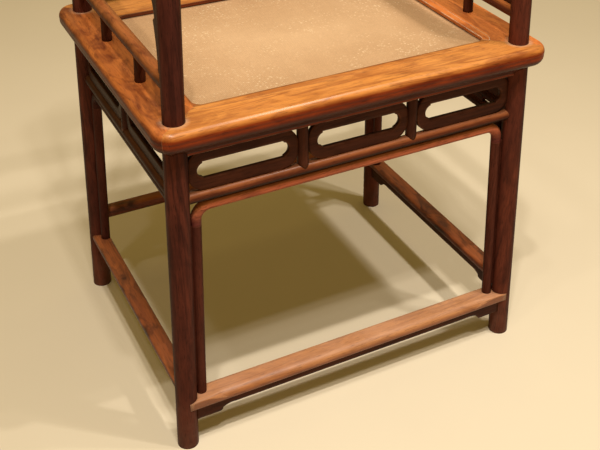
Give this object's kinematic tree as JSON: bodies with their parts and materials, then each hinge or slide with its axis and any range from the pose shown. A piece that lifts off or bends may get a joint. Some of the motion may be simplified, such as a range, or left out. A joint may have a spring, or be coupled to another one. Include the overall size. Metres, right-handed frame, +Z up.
{
  "type": "low-back armchair",
  "caption": "Low-back wooden armchair with leaning round legs, a woven seat in a moulded mitred frame, openwork ring panels, bent rod arches and stepped stretchers with a foot rest.",
  "frame": {"origin": "on the floor, under the middle of the four feet", "axes": "+Z up, +Y to the back of the chair, +X to the right of someone who faces its front"},
  "size_m": [0.5694, 0.4388, 0.8534],
  "materials": {
    "leg_wood": "dark red-brown hardwood, waxed satin",
    "seat_wood": "orange-tan hardwood, worn satin",
    "stretcher_wood": "brown hardwood, worn pale on top",
    "ornament_wood": "dark brown hardwood, waxed",
    "woven_cane": "split cane, plain close weave",
    "coir": "coarse coir fibre webbing"
  },
  "bodies": {
    "root": {"arm_arch_head_left": "ornament_wood", "arm_arch_head_right": "ornament_wood", "arm_arch_strips_left": "ornament_wood", "arm_arch_strips_right": "ornament_wood", "armrest_left": "leg_wood", "armrest_right": "leg_wood", "back_arch_head": "ornament_wood", "back_arch_strip_left": "ornament_wood", "back_arch_strip_right": "ornament_wood", "base_rail_back": "leg_wood", "base_rail_front": "leg_wood", "base_rail_left": "leg_wood", "base_rail_right": "leg_wood", "base_struts_back": "ornament_wood", "base_struts_front": "ornament_wood", "base_struts_left": "ornament_wood", "base_struts_right": "ornament_wood", "binding_strip_back": "seat_wood", "binding_strip_front": "seat_wood", "binding_strip_left": "seat_wood", "binding_strip_right": "seat_wood", "cane_mat": "woven_cane", "coir_webbing": "coir", "crest_rail": "leg_wood", "leg_back_left": "leg_wood", "leg_back_right": "leg_wood", "leg_front_left": "leg_wood", "leg_front_right": "leg_wood", "low_rail_back": "leg_wood", "low_rail_left": "leg_wood", "low_rail_right": "leg_wood", "low_struts_back": "ornament_wood", "low_struts_left": "ornament_wood", "low_struts_right": "ornament_wood", "ring_panels_back": "ornament_wood", "ring_panels_front": "ornament_wood", "ring_panels_left": "ornament_wood", "ring_panels_right": "ornament_wood", "rod_arch_head_front": "leg_wood", "rod_arch_head_left": "leg_wood", "rod_arch_head_right": "leg_wood", "rod_arch_posts_front": "leg_wood", "rod_arch_posts_left": "leg_wood", "rod_arch_posts_right": "leg_wood", "seat_brace_left": "leg_wood", "seat_brace_right": "leg_wood", "seat_rail_back": "seat_wood", "seat_rail_front": "seat_wood", "seat_rail_left": "seat_wood", "seat_rail_right": "seat_wood", "stretcher_apron_front": "ornament_wood", "stretcher_apron_left": "ornament_wood", "stretcher_apron_right": "ornament_wood", "stretcher_back": "stretcher_wood", "stretcher_front": "stretcher_wood", "stretcher_left": "stretcher_wood", "stretcher_right": "stretcher_wood"}
  },
  "joints": []
}
